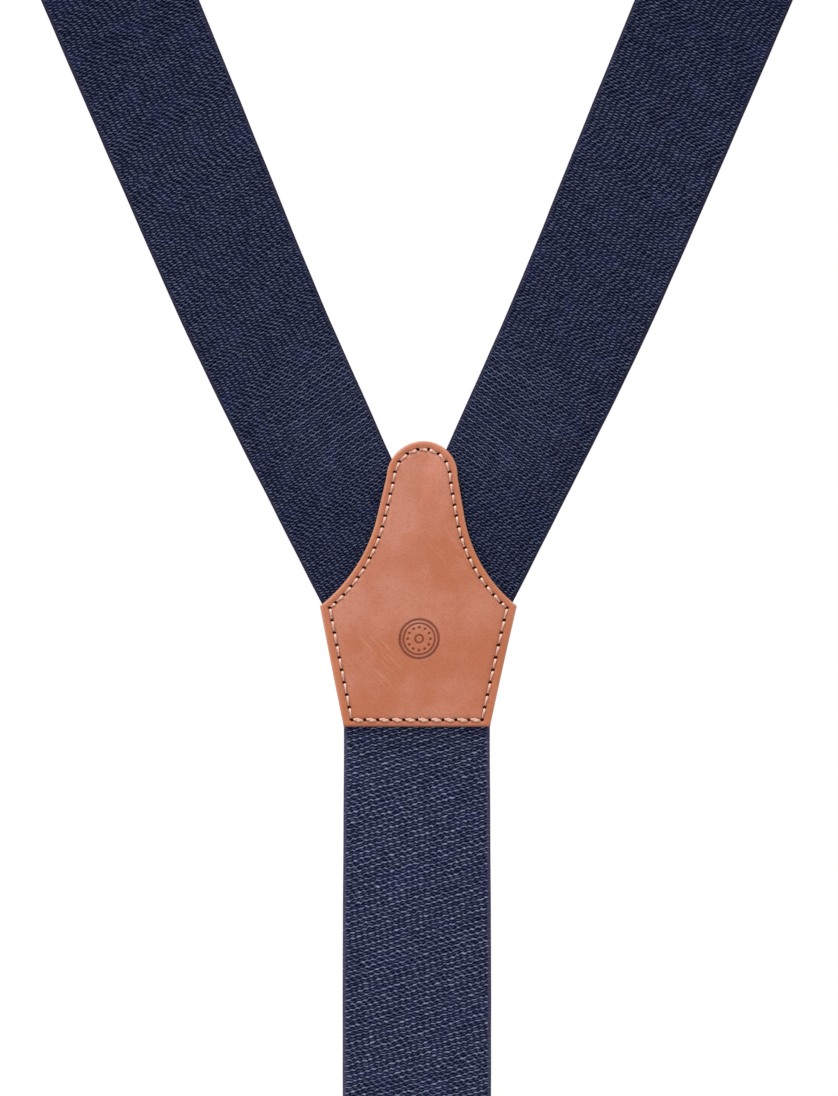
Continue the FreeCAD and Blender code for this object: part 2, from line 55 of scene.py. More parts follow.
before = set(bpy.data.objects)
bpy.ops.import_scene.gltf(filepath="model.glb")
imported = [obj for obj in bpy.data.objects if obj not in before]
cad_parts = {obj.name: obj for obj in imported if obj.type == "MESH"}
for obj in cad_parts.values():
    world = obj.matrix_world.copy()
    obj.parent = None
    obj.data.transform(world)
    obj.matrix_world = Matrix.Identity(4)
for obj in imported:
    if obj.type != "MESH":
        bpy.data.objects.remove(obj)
cad_box = [list(corner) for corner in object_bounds()]

MM = 0.001
SIDES = (("left", -1), ("right", 1))
CLIPS = ("left", "right", "rear")

# Places and sizes read from the frame
patch_low, patch_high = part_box("crosspatch_front_leather")
backing_low, backing_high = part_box("crosspatch_backing_leather")
rear_low, rear_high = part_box("rear_strap")
loop_low, loop_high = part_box("right_strap_loop")
thickness = backing_low.y - patch_high.y
webbing_width = rear_high.x - rear_low.x
shoulder_radius = -backing_low.y
fold_gap = (loop_high.y - loop_low.y) - 2 * thickness
patch_middle = (patch_low.z + patch_high.z) / 2
front_across = (loop_low.x + loop_high.x) / 2
bar_height = loop_low.z + fold_gap / 2 + thickness
hem_radius = 0.9 * MM
hem_fold_height = loop_high.z - hem_radius - thickness
butt_height = rear_high.z

# The straps' course on the unrolled body, as in the CAD part
low_angle = math.radians(25.5)
high_angle = math.radians(22.8)
apex_drop = 18.1 * MM
bend_height = 62 * MM
straight_height = 140 * MM
edge_bend_radius = 800 * MM
gather_depth = 7.2 * MM
gather_length = 227 * MM
front_hem = 20 * MM
rear_hem = 30 * MM

# Straps as meshes: distances, shares of the width or the thickness, and radians round a fold
STATION_SPACING = 2.5 * MM
FOLD_STEP = 0.22
SELVEDGE_ROUNDING = 0.42
SELVEDGE_PROFILE = ((0.28, 0.86), (0.0, 0.5), (0.28, 0.14))
EDGE_WANDER, EDGE_WANDER_RATE = 0.006, 90
FACE_RIPPLE, FACE_RIPPLE_RATE = 0.07 * MM, 120
BUTT_GAP = 0.05 * MM
SPLIT_AFTER_FOLD = 3 * MM
REAR_WIDE = 1.005
REAR_GATHER, REAR_GATHER_LENGTH = 0.02, 80 * MM

# Weave, in the millimetres of the straps' weave coordinates
WEAVE_ROW = 0.65
WEAVE_FLOAT = 1.44
SELVEDGE = (0.63, 0.99)
COARSE_MIDDLE = (11.0, 61.0, 0.0)
COARSE_REACH = (7.0, 25.0)
# Over this span along a strap the painted highlight fades to far_light: painted light falling off away from
# the patch.
FAR_FROM_PATCH = (120.0, 220.0)

# Weave, in shares of a row or of a float
STEP_DEPTH = 0.18
CHAIN_SIDE = (0.03, 0.42)
FLOAT_END = (0.13, 0.45)

# Painted highlight on the webbing's floats, fine grain of the materials, and painted shade in the stitch
# holes
FLOAT_LIGHT = (0.62, 1.32)
FIBRE_STRETCH = (1.0, 4.0, 1.0)
SCRATCH_STRETCH = (0.12, 1.4, 2.6)
SCRATCH_TILT = -0.85
POLISH_STRETCH = (0.15, 5.0, 5.0)
PAINTED_HOLE_SHADE = (0.022, 0.007, 0.005)


# Meshes

def new_piece(name, vertices, faces, material):
    mesh = bpy.data.meshes.new(name)
    mesh.from_pydata([tuple(vertex) for vertex in vertices], [], faces)
    mesh.validate()
    mesh.update()
    mesh.shade_smooth()
    mesh.materials.append(material)
    return add_object(name, mesh)


def add_object(name, data):
    added = bpy.data.objects.new(name, data)
    bpy.context.scene.collection.objects.link(added)
    return added


def pairs(loop):
    """Each item of a closed loop with the one after it."""
    return list(zip(loop, loop[1:] + loop[:1]))


def tube_faces(first, end, sides):
    """The faces of a tube with closed ends, whose vertices from first up to end come in rings."""
    faces = [tuple(reversed(range(first, first + sides))), tuple(range(end - sides, end))]
    for ring in range(first, end - sides, sides):
        for corner, following in pairs(list(range(ring, ring + sides))):
            faces.append((corner, following, following + sides, corner + sides))
    return faces


def point_attribute(piece, name, values):
    """A number or a vector at every vertex, which the piece's material reads by this name."""
    values = np.asarray(values, np.float32)
    kind, field = ("FLOAT", "value") if values.ndim == 1 else ("FLOAT_VECTOR", "vector")
    layer = piece.data.attributes.new(name, kind, "POINT")
    layer.data.foreach_set(field, values.ravel())


def attach(piece, node, body):
    """Let a piece stand for a CAD node, moving with one body."""
    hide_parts(node)
    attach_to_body(piece, body)


def smooth_step(value, low, high):
    share = np.clip((np.asarray(value, float) - low) / (high - low), 0.0, 1.0)
    return share * share * (3 - 2 * share)


def near(gap, full, none):
    """From 1 where the gap is at most full, to 0 where it is at least none."""
    return 1 - smooth_step(gap, full, none)


# Shader nodes

class Shader:
    """A material whose nodes are added and linked in few words."""

    def __init__(self, name):
        self.material = bpy.data.materials.new(name)
        self.material.use_nodes = True
        self.tree = self.material.node_tree
        self.surface = self.tree.nodes["Principled BSDF"]

    def put(self, socket, value):
        """Link a socket, or give it a plain value; a colour is three numbers."""
        if isinstance(value, bpy.types.NodeSocket):
            self.tree.links.new(value, socket)
        else:
            socket.default_value = (*value, 1.0) if socket.type == "RGBA" else value

    def node(self, kind, inputs, **settings):
        """A new node; its inputs are given by number or by name."""
        added = self.tree.nodes.new(kind)
        for name, value in settings.items():
            setattr(added, name, value)
        for socket, value in inputs.items():
            self.put(added.inputs[socket], value)
        return added

    def math(self, operation, *values, clamp=False):
        inputs = dict(enumerate(values))
        return self.node("ShaderNodeMath", inputs, operation=operation, use_clamp=clamp).outputs[0]

    def times(self, first, second):
        return self.math("MULTIPLY", first, second)

    def times_plus(self, first, second, added):
        return self.math("MULTIPLY_ADD", first, second, added)

    def less(self, first, second):
        return self.math("SUBTRACT", first, second)

    def nearest(self, value):
        """The nearest whole number."""
        return self.math("FLOOR", self.math("ADD", value, 0.5))

    def between(self, share, start, end):
        """A number on the way from start to end."""
        return self.times_plus(share, end - start, start)

    def step(self, value, low, high, to_low=0.0, to_high=1.0):
        """A smooth step of value from low to high."""
        inputs = dict(enumerate((value, low, high, to_low, to_high)))
        return self.node("ShaderNodeMapRange", inputs, interpolation_type="SMOOTHSTEP").outputs[0]

    def mix(self, share, first, second):
        return self.node("ShaderNodeMix", {0: share, 6: first, 7: second}, data_type="RGBA").outputs[2]

    def attribute(self, name, output="Fac"):
        return self.node("ShaderNodeAttribute", {}, attribute_name=name).outputs[output]

    def place(self):
        """Object coordinates in millimetres."""
        return self.stretch(self.node("ShaderNodeTexCoord", {}).outputs["Object"], (1 / MM,) * 3)

    def stretch(self, vector, scales):
        return self.node("ShaderNodeVectorMath", {0: vector, 1: scales}, operation="MULTIPLY").outputs[0]

    def noise(self, vector, scale, detail=3.0, roughness=0.5):
        inputs = {"Vector": vector, "Scale": scale, "Detail": detail, "Roughness": roughness}
        return self.node("ShaderNodeTexNoise", inputs).outputs["Fac"]

    def luck(self, value, dimensions, socket):
        """A random number from 0 to 1 for every value."""
        return self.node("ShaderNodeTexWhiteNoise", {socket: value}, noise_dimensions=dimensions).outputs[0]

    def combine(self, *values):
        return self.node("ShaderNodeCombineXYZ", dict(enumerate(values))).outputs[0]

    def bump(self, height, distance, strength):
        inputs = {"Height": height, "Distance": distance, "Strength": strength}
        return self.node("ShaderNodeBump", inputs).outputs[0]

    def finish(self, **inputs):
        """Set the surface's inputs, whose names are written with underscores."""
        for name, value in inputs.items():
            self.put(self.surface.inputs[name.replace("_", " ")], value)
        return self.material


def tinted(colour, *factors):
    return tuple(part * factor for part, factor in zip(colour, factors))


def webbing_material(name, gap, light, blue, between, link, wander, row_run, shove, drift, far_light):
    """Elastic webbing whose short floats of yarn lie in rows and link into stepped chains.

    gap is the navy between the floats, darkened as painted shade, and light the colour of the painted
    highlight that the floats take. blue is the colour that the gaps take in patches. between is how strongly
    every second chain stands out and takes the highlight, and link how strongly the yarn does between two
    floats, both beside the patch's neck and away from it. wander is how far chains shift along themselves,
    row_run how far across they rise by one row, shove and drift how far they are pushed across and along, and
    far_light how much of the highlight is left far from the patch, a painted fall-off of the light."""
    shader = Shader(name)
    weave = shader.attribute("weave", "Vector")
    flat_u, flat_v, _ = shader.node("ShaderNodeSeparateXYZ", {0: weave}).outputs
    pushed = shader.less(shader.noise(weave, scale=0.75, detail=1.0), 0.5)
    drifted = shader.less(shader.noise(weave, scale=0.40, detail=2.0), 0.5)
    across = shader.times_plus(pushed, shove, flat_u)
    along = shader.times_plus(drifted, drift, flat_v)

    rows = shader.times(along, 1 / WEAVE_ROW)
    chains = shader.times_plus(flat_u, -1 / row_run, rows)
    chain = shader.nearest(chains)
    chain_luck = shader.luck(chain, dimensions="1D", socket="W")
    floats = shader.times(across, 1 / WEAVE_FLOAT)
    phase = shader.times_plus(chain_luck, wander, floats)
    float_number = shader.nearest(phase)
    off_float = shader.math("ABSOLUTE", shader.less(phase, float_number))
    ripple = shader.math("SINE", shader.times(phase, math.tau))
    off_chain = shader.math("ABSOLUTE", shader.less(shader.times_plus(ripple, STEP_DEPTH, chains), chain))

    places = {0: shader.combine(flat_u, flat_v, 0.0), 1: COARSE_MIDDLE}
    from_neck = shader.node("ShaderNodeVectorMath", places, operation="DISTANCE").outputs["Value"]
    away = shader.step(from_neck, *COARSE_REACH)
    link_loss = shader.between(away, link[0] - 1, link[1] - 1)
    body = shader.times_plus(shader.step(off_float, *FLOAT_END), link_loss, 1.0)
    chain_loss = shader.between(away, between[0] - 1, between[1] - 1)
    strength = shader.times_plus(shader.math("FLOORED_MODULO", chain, 2.0), chain_loss, 1.0)
    ridge = shader.step(off_chain, *CHAIN_SIDE, to_low=1.0, to_high=0.0)
    float_height = shader.times(shader.times(ridge, body), strength)

    float_luck = shader.luck(shader.combine(float_number, chain, 0.0), dimensions="2D", socket="Vector")
    own_light = shader.between(float_luck, *FLOAT_LIGHT)
    near_light = shader.between(away, 1 + link[0] - link[1], 1.0)
    fibres = shader.noise(shader.stretch(weave, FIBRE_STRETCH), scale=1.7, detail=2.0)
    # lit is painted light: the floats take the light colour as a painted highlight, and the gaps keep the gap
    # colour, the navy darkened as painted shade.
    lit = shader.times(float_height, shader.times(own_light, near_light))
    lit = shader.times(lit, shader.step(fibres, 0.28, 0.74, to_low=0.5, to_high=1.45))
    # Painted light fall-off: far from the patch the highlight dims to far_light.
    lit = shader.times(lit, shader.step(flat_v, *FAR_FROM_PATCH, to_low=1.0, to_high=far_light))
    patches = shader.step(shader.noise(weave, scale=0.15, detail=4.0, roughness=0.6), 0.48, 0.72)
    colour = shader.mix(lit, shader.mix(patches, gap, blue), light)

    edge_gap = shader.less(webbing_width / MM / 2, shader.math("ABSOLUTE", flat_u))
    selvedge = shader.step(edge_gap, *SELVEDGE, to_low=0.65, to_high=0.0)
    purple = tinted(light, 0.26, 0.20, 0.26)
    height = shader.times_plus(fibres, 0.3, float_height)
    return shader.finish(
        Base_Color=shader.mix(selvedge, colour, purple),
        Roughness=0.95,
        Specular_IOR_Level=0.0,
        Normal=shader.bump(height, distance=0.34 * MM, strength=0.95),
    )


def leather_material(name, colour, pale, dark, edge, grain):
    """Smooth vegetable-tanned leather: fine pores, soft mottling, faint scratches, edges with a burnish.

    It also carries painted light: a sheen lighter towards the upper left, a highlight on the tan leather's
    cut edge, and shade in the stitch holes and along the stitching. The mesh says, point by point, where it
    takes the painted sheen, where it is worn, pressed, near its edge, sewn or pierced."""
    shader = Shader(name)
    place = shader.place()
    mottle = shader.noise(place, scale=0.07, detail=4.0, roughness=0.55)
    mottling = shader.step(mottle, 0.36, 0.66, to_low=-0.1, to_high=0.75)
    # The mottling is the leather's own; the sheen added to it is painted light, lighter towards the upper
    # left.
    mottle_and_painted_sheen = shader.math("ADD", mottling, shader.attribute("painted_sheen"), clamp=True)
    speckle = shader.noise(place, scale=1.7, detail=4.0, roughness=0.7)
    grit = shader.noise(place, scale=5.0, detail=2.0, roughness=0.7)
    turn = {"Vector": place, "Angle": SCRATCH_TILT}
    tilted = shader.node("ShaderNodeVectorRotate", turn, rotation_type="Y_AXIS").outputs[0]
    streaks = shader.noise(shader.stretch(tilted, SCRATCH_STRETCH), scale=1.0)
    scratch = shader.times(shader.step(streaks, 0.56, 0.66), shader.attribute("wear"))
    pressed = tinted(dark, 0.6, 0.42, 0.45)
    # The stitch holes are painted near-black and lose their specular: painted shade in the pits.
    hole = shader.attribute("hole")
    layers = (
        (mottle_and_painted_sheen, pale),
        (shader.step(speckle, 0.42, 0.78, to_high=0.42), dark),
        (shader.step(grit, 0.5, 0.8, to_high=0.5), pale),
        (scratch, tinted(pale, 1.08, 1.25, 1.15)),
        (shader.attribute("press"), pressed),
        (shader.times(shader.attribute("margin"), 0.7), tinted(colour, 1.04, 1.0, 0.82)),
        # The cut edge: on the tan leather a lighter colour, a painted highlight over its burnish; on the
        # backing a darker burnish.
        (shader.times(shader.attribute("rim"), 0.6), edge),
        # Darker along the stitching, partly its pressed groove and partly painted shadow beside the thread;
        # at the foot, burnish and painted shadow.
        (shader.times(shader.attribute("seam"), 0.6), pressed),
        # Painted shade in the stitch holes.
        (hole, PAINTED_HOLE_SHADE),
    )
    base = colour
    for share, layer in layers:
        base = shader.mix(share, base, layer)
    wrinkle = shader.noise(place, scale=2.6, detail=5.0, roughness=0.65)
    pores = shader.node("ShaderNodeTexVoronoi", {"Vector": place, "Scale": 3.4}).outputs["Distance"]
    relief = shader.times_plus(pores, 0.5, wrinkle)
    return shader.finish(
        Base_Color=base,
        Roughness=shader.step(wrinkle, 0.3, 0.7, to_low=0.40, to_high=0.54),
        Specular_IOR_Level=shader.step(hole, 0.0, 0.5, to_low=0.36, to_high=0.0),
        Normal=shader.bump(relief, distance=grain * MM, strength=0.6),
    )


def thread_material(name, colour, shade, darkened):
    """Twisted thread, darker point by point: a tint from the leather and painted shade where it sinks."""
    shader = Shader(name)
    fibres = shader.noise(shader.place(), scale=7.0)
    base = shader.mix(shader.step(fibres, 0.3, 0.7), shade, colour)
    return shader.finish(
        # The darker colour: partly a tint from the leather, partly painted shade on the stitches' sunk ends.
        Base_Color=shader.mix(shader.attribute("tint_and_shade"), base, darkened),
        Roughness=0.65,
        Sheen_Weight=0.1,
        Normal=shader.bump(fibres, distance=0.08 * MM, strength=0.7),
    )


def metal_material(name, colour, roughness):
    """Polished metal, with fine polishing lines and duller handled patches."""
    shader = Shader(name)
    place = shader.place()
    lines = shader.noise(shader.stretch(place, POLISH_STRETCH), scale=1.2)
    patches = shader.noise(place, scale=0.22, detail=4.0, roughness=0.6)
    handled = shader.step(patches, 0.3, 0.75, to_low=roughness - 0.03, to_high=roughness + 0.05)
    dull = shader.step(patches, 0.35, 0.8, to_high=0.2)
    return shader.finish(
        Base_Color=shader.mix(dull, colour, tinted(colour, 0.8, 0.78, 0.74)),
        Metallic=1.0,
        Roughness=shader.times_plus(lines, 0.08, handled),
        Normal=shader.bump(lines, distance=0.02 * MM, strength=0.35),
    )


def grip_material():
    """Black plastic with a fine matt grain."""
    shader = Shader("grip_plastic")
    grain = shader.noise(shader.place(), scale=6.0, detail=4.0)
    return shader.finish(
        Base_Color=shader.mix(grain, (0.012, 0.012, 0.014), (0.035, 0.035, 0.038)),
        Roughness=shader.step(grain, 0.3, 0.7, to_low=0.45, to_high=0.6),
        Normal=shader.bump(grain, distance=0.06 * MM, strength=0.5),
    )


# In both webbings gap is the navy darkened as painted shade and light the painted highlight on the floats;
# the front's far_light dims that highlight far from the patch.
front_webbing = webbing_material(
    "front_webbing",
    gap=(0.0009, 0.0018, 0.0105), light=(0.094, 0.107, 0.174), blue=(0.0028, 0.0046, 0.0250),
    between=(0.30, 0.68), link=(0.56, 0.22), wander=0.6, row_run=4.2, shove=1.0, drift=0.5, far_light=0.62,
)
rear_webbing = webbing_material(
    "rear_webbing",
    gap=(0.0023, 0.0037, 0.0175), light=(0.205, 0.228, 0.345), blue=(0.0032, 0.0050, 0.0300),
    between=(0.22, 0.22), link=(0.30, 0.30), wander=0.6, row_run=2.1, shove=1.4, drift=1.1, far_light=1.0,
)
# The tan leather's edge colour is lighter than its own, a painted highlight on the cut edge; the backing's is
# a darker burnish.
tan_leather = leather_material(
    "tan_leather",
    colour=(0.345, 0.100, 0.042), pale=(0.405, 0.151, 0.096),
    dark=(0.225, 0.054, 0.022), edge=(0.48, 0.235, 0.135), grain=0.14,
)
backing_leather = leather_material(
    "backing_leather",
    colour=(0.33, 0.135, 0.074), pale=(0.42, 0.21, 0.135),
    dark=(0.20, 0.070, 0.037), edge=(0.24, 0.090, 0.045), grain=0.22,
)
# Each thread's darker colour stands partly for a tint from the leather, partly for painted shade where it
# sinks.
cream_thread = thread_material(
    "cream_thread", colour=(0.78, 0.53, 0.42), shade=(0.58, 0.34, 0.25), darkened=(0.38, 0.17, 0.11))
navy_thread = thread_material(
    "navy_thread", colour=(0.035, 0.042, 0.085), shade=(0.012, 0.015, 0.035), darkened=(0.012, 0.015, 0.035))
nickel = metal_material("nickel_plate", (0.46, 0.445, 0.42), roughness=0.22)
steel = metal_material("bright_steel", (0.36, 0.355, 0.35), roughness=0.28)
black_grip = grip_material()


# Straps

class Route:
    """The straps' inner face in the YZ plane, as runs of ("line", length) and ("arc", inner radius).

    An arc is a half turn to the right, seen from +X, about a centre on the strap's inner side.
    Distances are measured in the middle of the webbing's thickness."""

    def __init__(self, start, heading, runs):
        self.runs = []
        point = Vector(start)
        heading = Vector(heading)
        self.length = 0.0
        for kind, size in runs:
            inwards = Vector((heading.y, -heading.x))
            long = size if kind == "line" else math.pi * (size + thickness / 2)
            self.runs.append((self.length, long, kind, size, point.copy(), heading.copy(), inwards))
            self.length += long
            if kind == "line":
                point = point + heading * size
            else:
                point = point + inwards * 2 * size
                heading = -heading

    def at(self, along, out):
        """The (y, z) point this far along, and this far out from the inner face."""
        passed = [run for run in self.runs if run[0] <= max(along, 0.0)]
        start, _, kind, size, point, heading, inwards = passed[-1]
        if kind == "line":
            return point + heading * (along - start) - inwards * out
        turned = (along - start) / (size + thickness / 2)
        centre = point + inwards * size
        return centre + (heading * math.sin(turned) - inwards * math.cos(turned)) * (size + out)

    def fine_stops(self, coarse):
        """Distances for the mesh's sections: close together round the small folds."""
        stops = [0.0]
        for start, long, kind, size, *_ in self.runs:
            spacing = min(coarse, (size + thickness) * FOLD_STEP) if kind == "arc" else coarse
            steps = max(1, math.ceil(long / spacing))
            stops += [start + long * number / steps for number in range(1, steps + 1)]
        return stops


def front_course(spacing):
    """(across, along, heading, distance) down the middle of a front strap, from the patch on."""
    half_slight = edge_bend_radius * (low_angle - high_angle) / 2
    stretches = (
        ((bend_height + apex_drop) / math.cos(low_angle) - half_slight, 0.0),
        (2 * half_slight, high_angle - low_angle),
        ((straight_height - bend_height) / math.cos(high_angle) - half_slight, 0.0),
        (edge_bend_radius * high_angle, -high_angle),
    )
    run_in = webbing_width
    across = -run_in * math.sin(low_angle)
    along = -apex_drop - run_in * math.cos(low_angle)
    heading, distance = low_angle, -run_in
    stations = [(across, along, heading, distance)]
    for length, turn in ((run_in, 0.0),) + stretches:
        steps = max(1, round(length / spacing))
        for _ in range(steps):
            middle = heading + turn / steps / 2
            across += length / steps * math.sin(middle)
            along += length / steps * math.cos(middle)
            heading += turn / steps
            distance += length / steps
            stations.append((across, along, heading, distance))
    return stations


def strap_width(distance):
    """A front strap's width, which narrows towards the crosspatch."""
    left = min(1.0, max(0.0, 1 - distance / gather_length))
    return webbing_width - gather_depth * left ** 2


def webbing_section(width, columns=16):
    """(across, out) round the strap's section: both faces, with rounded selvedges."""
    half = width / 2
    rounding = thickness * SELVEDGE_ROUNDING
    waves = [math.sin(math.pi / 2 * (2 * number / columns - 1)) for number in range(columns + 1)]
    face = [(half - rounding) * wave for wave in waves]
    edge = [(half - rounding * inwards, share) for inwards, share in SELVEDGE_PROFILE]
    section = [(across, thickness) for across in face]
    section += [(across, thickness * share) for across, share in edge]
    section += [(across, 0.0) for across in reversed(face)]
    section += [(-across, thickness * (1 - share)) for across, share in edge]
    return section


def webbing_mesh(name, route, stations, material, mirror=1, lay=1, width_at=strap_width, seed=0.0, cut=()):
    """A strap along stations (across, along, heading, distance), closed at both ends.

    lay is -1 where the weave's chains rise towards the strap's inner side, seed sets its unevenness,
    and cut holds the planes (point, normal) that trim it."""
    vertices, weave = [], []
    for across, along, heading, distance in stations:
        width = width_at(distance)
        wander = 1 + EDGE_WANDER * noise.noise(Vector((distance * EDGE_WANDER_RATE, seed, 0.0)))
        for offset, out in webbing_section(width * wander):
            x = across + offset * math.cos(heading)
            run = along - offset * math.sin(heading)
            ripple = FACE_RIPPLE * noise.noise(Vector((x * FACE_RIPPLE_RATE, run * FACE_RIPPLE_RATE, seed)))
            y, z = route.at(run, out + ripple)
            vertices.append(Vector((x * mirror, y, z)))
            weave.append((offset / width * webbing_width / MM * lay, distance / MM, seed))
    faces = tube_faces(0, len(vertices), len(vertices) // len(stations))
    piece = new_piece(name, vertices, faces, material)
    point_attribute(piece, "weave", weave)
    orient(piece, cut)
    return piece


def orient(piece, planes=()):
    """Make every face of a closed mesh face outwards, once what lies past each plane is cut away.

    It is cut on the flat of the wearer's back only, and the mesh is closed again."""
    work = bmesh.new()
    work.from_mesh(piece.data)
    for point, normal in planes:
        faces = [face for face in work.faces if face.calc_center_median().y < BACK_FLAT]
        parts = {part for face in faces for part in (face, *face.edges, *face.verts)}
        bmesh.ops.bisect_plane(work, geom=list(parts), plane_co=point, plane_no=normal, clear_outer=True)
        open_edges = [edge for edge in work.edges if edge.is_boundary]
        bmesh.ops.holes_fill(work, edges=open_edges)
    bmesh.ops.recalc_face_normals(work, faces=work.faces)
    work.to_mesh(piece.data)
    work.free()
    piece.data.shade_smooth()


BACK_FLAT = -shoulder_radius * 0.97
back_run = -patch_middle - shoulder_radius
arch_length = math.pi * (shoulder_radius + thickness / 2)
front_run_length = -bar_height - shoulder_radius
return_run_length = hem_fold_height - bar_height


def body_route():
    """Up the wearer's back, over a shoulder, down the front, round the clip's bar and the adjuster's."""
    return Route((-shoulder_radius, patch_middle), (0, 1), (
        ("line", back_run),
        ("arc", shoulder_radius),
        ("line", front_run_length),
        ("arc", fold_gap / 2),
        ("line", return_run_length),
        ("arc", hem_radius),
        ("line", front_hem),
    ))


def make_front_strap(side, sign):
    """One strap as two pieces: down to the back of the clip's fold, and from there to its hem."""
    route = body_route()
    stations = front_course(STATION_SPACING)
    _, along, _, distance = stations[-1]
    fold_end = back_run + arch_length + front_run_length + math.pi * (fold_gap + thickness) / 2
    split = fold_end + SPLIT_AFTER_FOLD
    stops = [stop for stop in route.fine_stops(STATION_SPACING) if stop > along + STATION_SPACING / 2]
    before = [stop for stop in stops if stop < split] + [split]
    after = [split] + [stop for stop in stops if stop > split + STATION_SPACING / 4]
    worn = stations + [(front_across, stop, 0.0, distance + stop - along) for stop in before]
    returned = [(front_across, stop, 0.0, distance + stop - along) for stop in after]
    planes = (
        (Vector((sign * BUTT_GAP, 0, 0)), Vector((-sign, 0, 0))),
        (Vector((0, 0, butt_height + BUTT_GAP)), Vector((0, 0, -1))),
    )
    options = {"mirror": sign, "lay": -1, "seed": sign}
    strap = webbing_mesh(side + "_front_webbing", route, worn, front_webbing, cut=planes, **options)
    back = webbing_mesh(side + "_return_webbing", route, returned, front_webbing, **options)
    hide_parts(side + "_front_strap")
    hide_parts(side + "_strap_loop")
    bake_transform(strap)
    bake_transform(back)


def make_rear_strap():
    """From the hem inside, round the rear clip's bar and up to the butt joint in the patch."""
    start = (-shoulder_radius + fold_gap, bar_height + rear_hem)
    up = butt_height - bar_height
    route = Route(start, (0, -1), (("line", rear_hem), ("arc", fold_gap / 2), ("line", up)))
    stations = [(0.0, stop, 0.0, stop) for stop in route.fine_stops(STATION_SPACING)]

    def width(distance):
        """A little narrower towards the crosspatch."""
        gathered = smooth_step(distance, route.length - REAR_GATHER_LENGTH, route.length)
        return webbing_width * (REAR_WIDE - REAR_GATHER * gathered)

    strap = webbing_mesh("rear_webbing", route, stations, rear_webbing, width_at=width, seed=3.0)
    attach(strap, "rear_strap", "harness")


# Crosspatch, worked out in (across, up) from the patch's middle

half_height = (patch_high.z - patch_low.z) / 2
corner_half = (patch_high.x - patch_low.x) / 2
bottom_half = 17.3 * MM
corner_drop = 5.2 * MM
flare_radius = 36 * MM
neck_half = 10.2 * MM
neck_height = 16.6 * MM
knob_radius = 8.4 * MM
sewn_lean = 1.55 * MM
sewn_lean_curve = 1.7
pinch_depth = 0.72 * MM
pinch_reach = 5.0 * MM
edge_radius = 0.5 * MM
channel_depth = 0.20 * MM
hole_sink = 0.8 * MM
press_sink = 0.26 * MM
swell_depth, swell_rate = 0.12 * MM, 140
under_patch = 30 * MM

FOOT_FACING = -0.9
FOOT_INSET = 1.65 * MM
LOW_INSET = 2.2 * MM
HIGH_INSET = 1.85 * MM
STRAIGHT_PITCH = 2.95 * MM
CROWN_PITCH = 2.65 * MM
HOLE_HALF_LENGTH = 0.46 * MM
HOLE_HALF_HEIGHT = 0.29 * MM
HOLE_SLANT = math.radians(14)
HOLE_EDGE = (0.7, 1.2)
HOLE_RINGS = ((0.45, 6), (0.8, 10), (1.1, 12), (1.5, 14))
RUBBED = (
    (Vector((-11 * MM, -18 * MM)), 8 * MM, 0.65),
    (Vector((7 * MM, 8 * MM)), 6 * MM, 0.35),
    (Vector((-3 * MM, -8 * MM)), 7 * MM, 0.25),
)

ROUNDEL_MIDDLE = Vector((0.35 * MM, -13 * MM))
RINGS = ((4.6 * MM, 0.20 * MM), (3.7 * MM, 0.12 * MM), (0.95 * MM, 0.13 * MM))
ROUNDEL_REACH = RINGS[0][0] + 0.6 * MM
DOT_COUNT = 12
DOT_RING = 2.7 * MM
DOT_RADIUS = 0.26 * MM
PRESS_EDGE = 0.14 * MM

# Spacings of the leather's points
OUTLINE_STEP = 0.4 * MM
COARSE_STEP = 0.55 * MM
FINE_STEP = 0.16 * MM
EDGE_RINGS = (0.12 * MM, 0.32 * MM, 0.7 * MM)
CLEAR_OF_EDGE = 1.0 * MM
CLEAR_OF_HOLE = 0.85 * MM


def direction(angle):
    return Vector((math.cos(angle), math.sin(angle)))


def arc_points(start, end, radius, side, count):
    """Points after start up to end on the short arc; side 1 has its centre on the left."""
    chord = end - start
    to_left = Vector((-chord.y, chord.x)).normalized()
    height = math.sqrt(max(radius ** 2 - (chord.length / 2) ** 2, 0.0))
    centre = (start + end) / 2 + to_left * height * side
    first = math.atan2(start.y - centre.y, start.x - centre.x)
    turn = 2 * math.asin(min(1.0, chord.length / 2 / radius)) * side
    angles = [first + turn * number / count for number in range(1, count + 1)]
    return [centre + radius * direction(angle) for angle in angles]


def patch_outline():
    """The patch's outline, anticlockwise from the middle of its foot.

    The second and third points and the last two are its corners."""
    foot = Vector((0.0, -half_height))
    low_corner = Vector((bottom_half, -half_height))
    side_corner = Vector((corner_half, -corner_drop))
    neck = Vector((neck_half, neck_height))
    shoulder = Vector((knob_radius, half_height - knob_radius))
    top = Vector((0.0, half_height))
    right = [foot, low_corner, side_corner]
    right += arc_points(side_corner, neck, flare_radius, -1, 24)
    right += [shoulder]
    right += arc_points(shoulder, top, knob_radius, 1, 20)
    return right + [Vector((-point.x, point.y)) for point in reversed(right[1:-1])]


def inset_line(loop, inset_of):
    """An anticlockwise loop moved inwards by what inset_of gives for each edge's outward normal."""
    nearly_parallel = 0.02
    moved = []
    for number, (point, following) in enumerate(pairs(loop)):
        lines = []
        for start, end in ((loop[number - 1], point), (point, following)):
            way = (end - start).normalized()
            outward = Vector((way.y, -way.x))
            lines.append((outward, inset_of(outward)))
        (first, first_inset), (second, second_inset) = lines
        overlap = first.dot(second)
        spread = 1 - overlap ** 2
        if spread < nearly_parallel:
            moved.append(point - (first + second) / 2 * (first_inset + second_inset) / 2)
            continue
        along_first = (first_inset - overlap * second_inset) / spread
        along_second = (second_inset - overlap * first_inset) / spread
        moved.append(point - first * along_first - second * along_second)
    return moved


